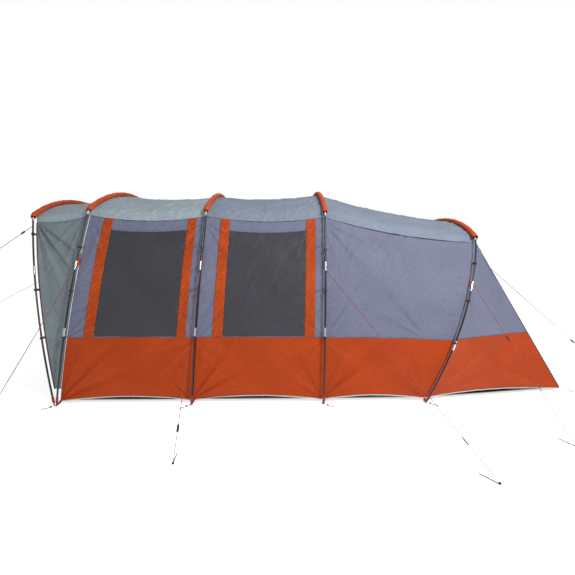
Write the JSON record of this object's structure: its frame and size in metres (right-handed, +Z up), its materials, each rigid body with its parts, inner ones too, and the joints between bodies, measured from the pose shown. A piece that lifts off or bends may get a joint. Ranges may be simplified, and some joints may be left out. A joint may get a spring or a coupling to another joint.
{
  "type": "tunnel tent on poles",
  "caption": "Tunnel tent of sewn cloth on pole arches, with a leaning porch arch, side windows, a front door, a groundsheet and guylines with runners and pegs.",
  "frame": {"origin": "on the ground under the middle of the tent's own box, guylines left out", "axes": "+X towards the low rear end, +Y across, +Z up"},
  "size_m": [8.7986, 5.2498, 2.1205],
  "materials": {
    "fibreglass": "satin black",
    "fitting_alloy": "bright",
    "orange_cloth": "woven, coated",
    "roof_cloth": "woven, coated",
    "wall_cloth": "woven, coated",
    "window_film": "dark film",
    "red_webbing": "webbing",
    "black_plastic": "moulded",
    "runner_plastic": "moulded",
    "peg_steel": "bright",
    "slider_metal": "bright",
    "ground_cloth": "coated",
    "piping": "piped tape",
    "guyline_cord": "braided"
  },
  "bodies": {
    "tent": {"arch_a_fittings": "fitting_alloy", "arch_a_poles": "fibreglass", "arch_b_fittings": "fitting_alloy", "arch_b_poles": "fibreglass", "arch_c_fittings": "fitting_alloy", "arch_c_poles": "fibreglass", "arch_d_fittings": "fitting_alloy", "arch_d_poles": "fibreglass", "arch_e_fittings": "fitting_alloy", "arch_e_poles": "fibreglass", "bands_far": "orange_cloth", "bands_near": "orange_cloth", "clip_hooks": "black_plastic", "door_zip": "black_plastic", "foot_pegs": "peg_steel", "foot_pins": "fitting_alloy", "front_wall": "wall_cloth", "groundsheet": "ground_cloth", "guy_patches": "orange_cloth", "guy_pegs": "peg_steel", "guylines": "guyline_cord", "hem_piping": "piping", "porch_roof": "roof_cloth", "porch_side_far": "wall_cloth", "porch_side_near": "wall_cloth", "rear_panel": "wall_cloth", "rear_skirt": "orange_cloth", "red_straps": "red_webbing", "roof_bc": "roof_cloth", "roof_cd": "roof_cloth", "roof_de": "roof_cloth", "skirt_far": "orange_cloth", "skirt_near": "orange_cloth", "sleeve_a": "orange_cloth", "sleeve_b": "orange_cloth", "sleeve_c": "orange_cloth", "sleeve_d": "orange_cloth", "sleeve_e": "orange_cloth", "wall_bc_far": "wall_cloth", "wall_bc_near": "wall_cloth", "wall_cd_far": "wall_cloth", "wall_cd_near": "wall_cloth", "wall_de_far": "wall_cloth", "wall_de_near": "wall_cloth", "windows_far": "window_film", "windows_near": "window_film"},
    "door": {"front_door": "wall_cloth"},
    "slider": {"zip_slider": "slider_metal"},
    "runner_a_far_body": {"runner_a_far": "runner_plastic"},
    "runner_a_near_body": {"runner_a_near": "runner_plastic"},
    "runner_b_far_body": {"runner_b_far": "runner_plastic"},
    "runner_b_near_body": {"runner_b_near": "runner_plastic"},
    "runner_c_far_body": {"runner_c_far": "runner_plastic"},
    "runner_c_near_body": {"runner_c_near": "runner_plastic"},
    "runner_d_far_body": {"runner_d_far": "runner_plastic"},
    "runner_d_near_body": {"runner_d_near": "runner_plastic"},
    "runner_e_far_body": {"runner_e_far": "runner_plastic"},
    "runner_e_near_body": {"runner_e_near": "runner_plastic"},
    "runner_rear_far_body": {"runner_rear_far": "runner_plastic"},
    "runner_rear_near_body": {"runner_rear_near": "runner_plastic"}
  },
  "joints": [
    {"name": "door_hinge", "type": "hinge", "parent": "tent", "child": "door", "pos_m": [-2.1202, 0.5, 0], "axis": [-0.0175, 0, -0.9998], "range_deg": [0, 100]},
    {"name": "zip_slide", "type": "slide", "parent": "tent", "child": "slider", "axis": [0.0175, 0, 0.9998], "range_m": [0, 1.15]},
    {"name": "runner_slide_a_near", "type": "slide", "parent": "tent", "child": "runner_a_near_body", "axis": [-0.8462, 0.1861, -0.4993], "range_m": [-0.055, 2.957]},
    {"name": "runner_slide_a_far", "type": "slide", "parent": "tent", "child": "runner_a_far_body", "axis": [-0.8462, -0.1861, -0.4993], "range_m": [-0.055, 2.957]},
    {"name": "runner_slide_b_near", "type": "slide", "parent": "tent", "child": "runner_b_near_body", "axis": [-0.0187, -0.7183, -0.6955], "range_m": [-1.38, 0.125]},
    {"name": "runner_slide_b_far", "type": "slide", "parent": "tent", "child": "runner_b_far_body", "axis": [-0.0187, 0.7183, -0.6955], "range_m": [-1.38, 0.125]},
    {"name": "runner_slide_c_near", "type": "slide", "parent": "tent", "child": "runner_c_near_body", "axis": [0.0457, -0.6783, -0.7334], "range_m": [-1.302, 0.112]},
    {"name": "runner_slide_c_far", "type": "slide", "parent": "tent", "child": "runner_c_far_body", "axis": [0.0457, 0.6783, -0.7334], "range_m": [-1.302, 0.112]},
    {"name": "runner_slide_d_near", "type": "slide", "parent": "tent", "child": "runner_d_near_body", "axis": [0.428, -0.6774, -0.5983], "range_m": [-1.621, 0.164]},
    {"name": "runner_slide_d_far", "type": "slide", "parent": "tent", "child": "runner_d_far_body", "axis": [0.428, 0.6774, -0.5983], "range_m": [-1.621, 0.164]},
    {"name": "runner_slide_e_near", "type": "slide", "parent": "tent", "child": "runner_e_near_body", "axis": [0.2019, -0.5945, -0.7783], "range_m": [-0.473, 0.714]},
    {"name": "runner_slide_e_far", "type": "slide", "parent": "tent", "child": "runner_e_far_body", "axis": [0.2019, 0.5945, -0.7783], "range_m": [-0.473, 0.714]},
    {"name": "runner_slide_rear_near", "type": "slide", "parent": "tent", "child": "runner_rear_near_body", "axis": [0.6255, -0.326, -0.7089], "range_m": [-1.925, 0.385]},
    {"name": "runner_slide_rear_far", "type": "slide", "parent": "tent", "child": "runner_rear_far_body", "axis": [0.6255, 0.326, -0.7089], "range_m": [-1.925, 0.385]}
  ]
}
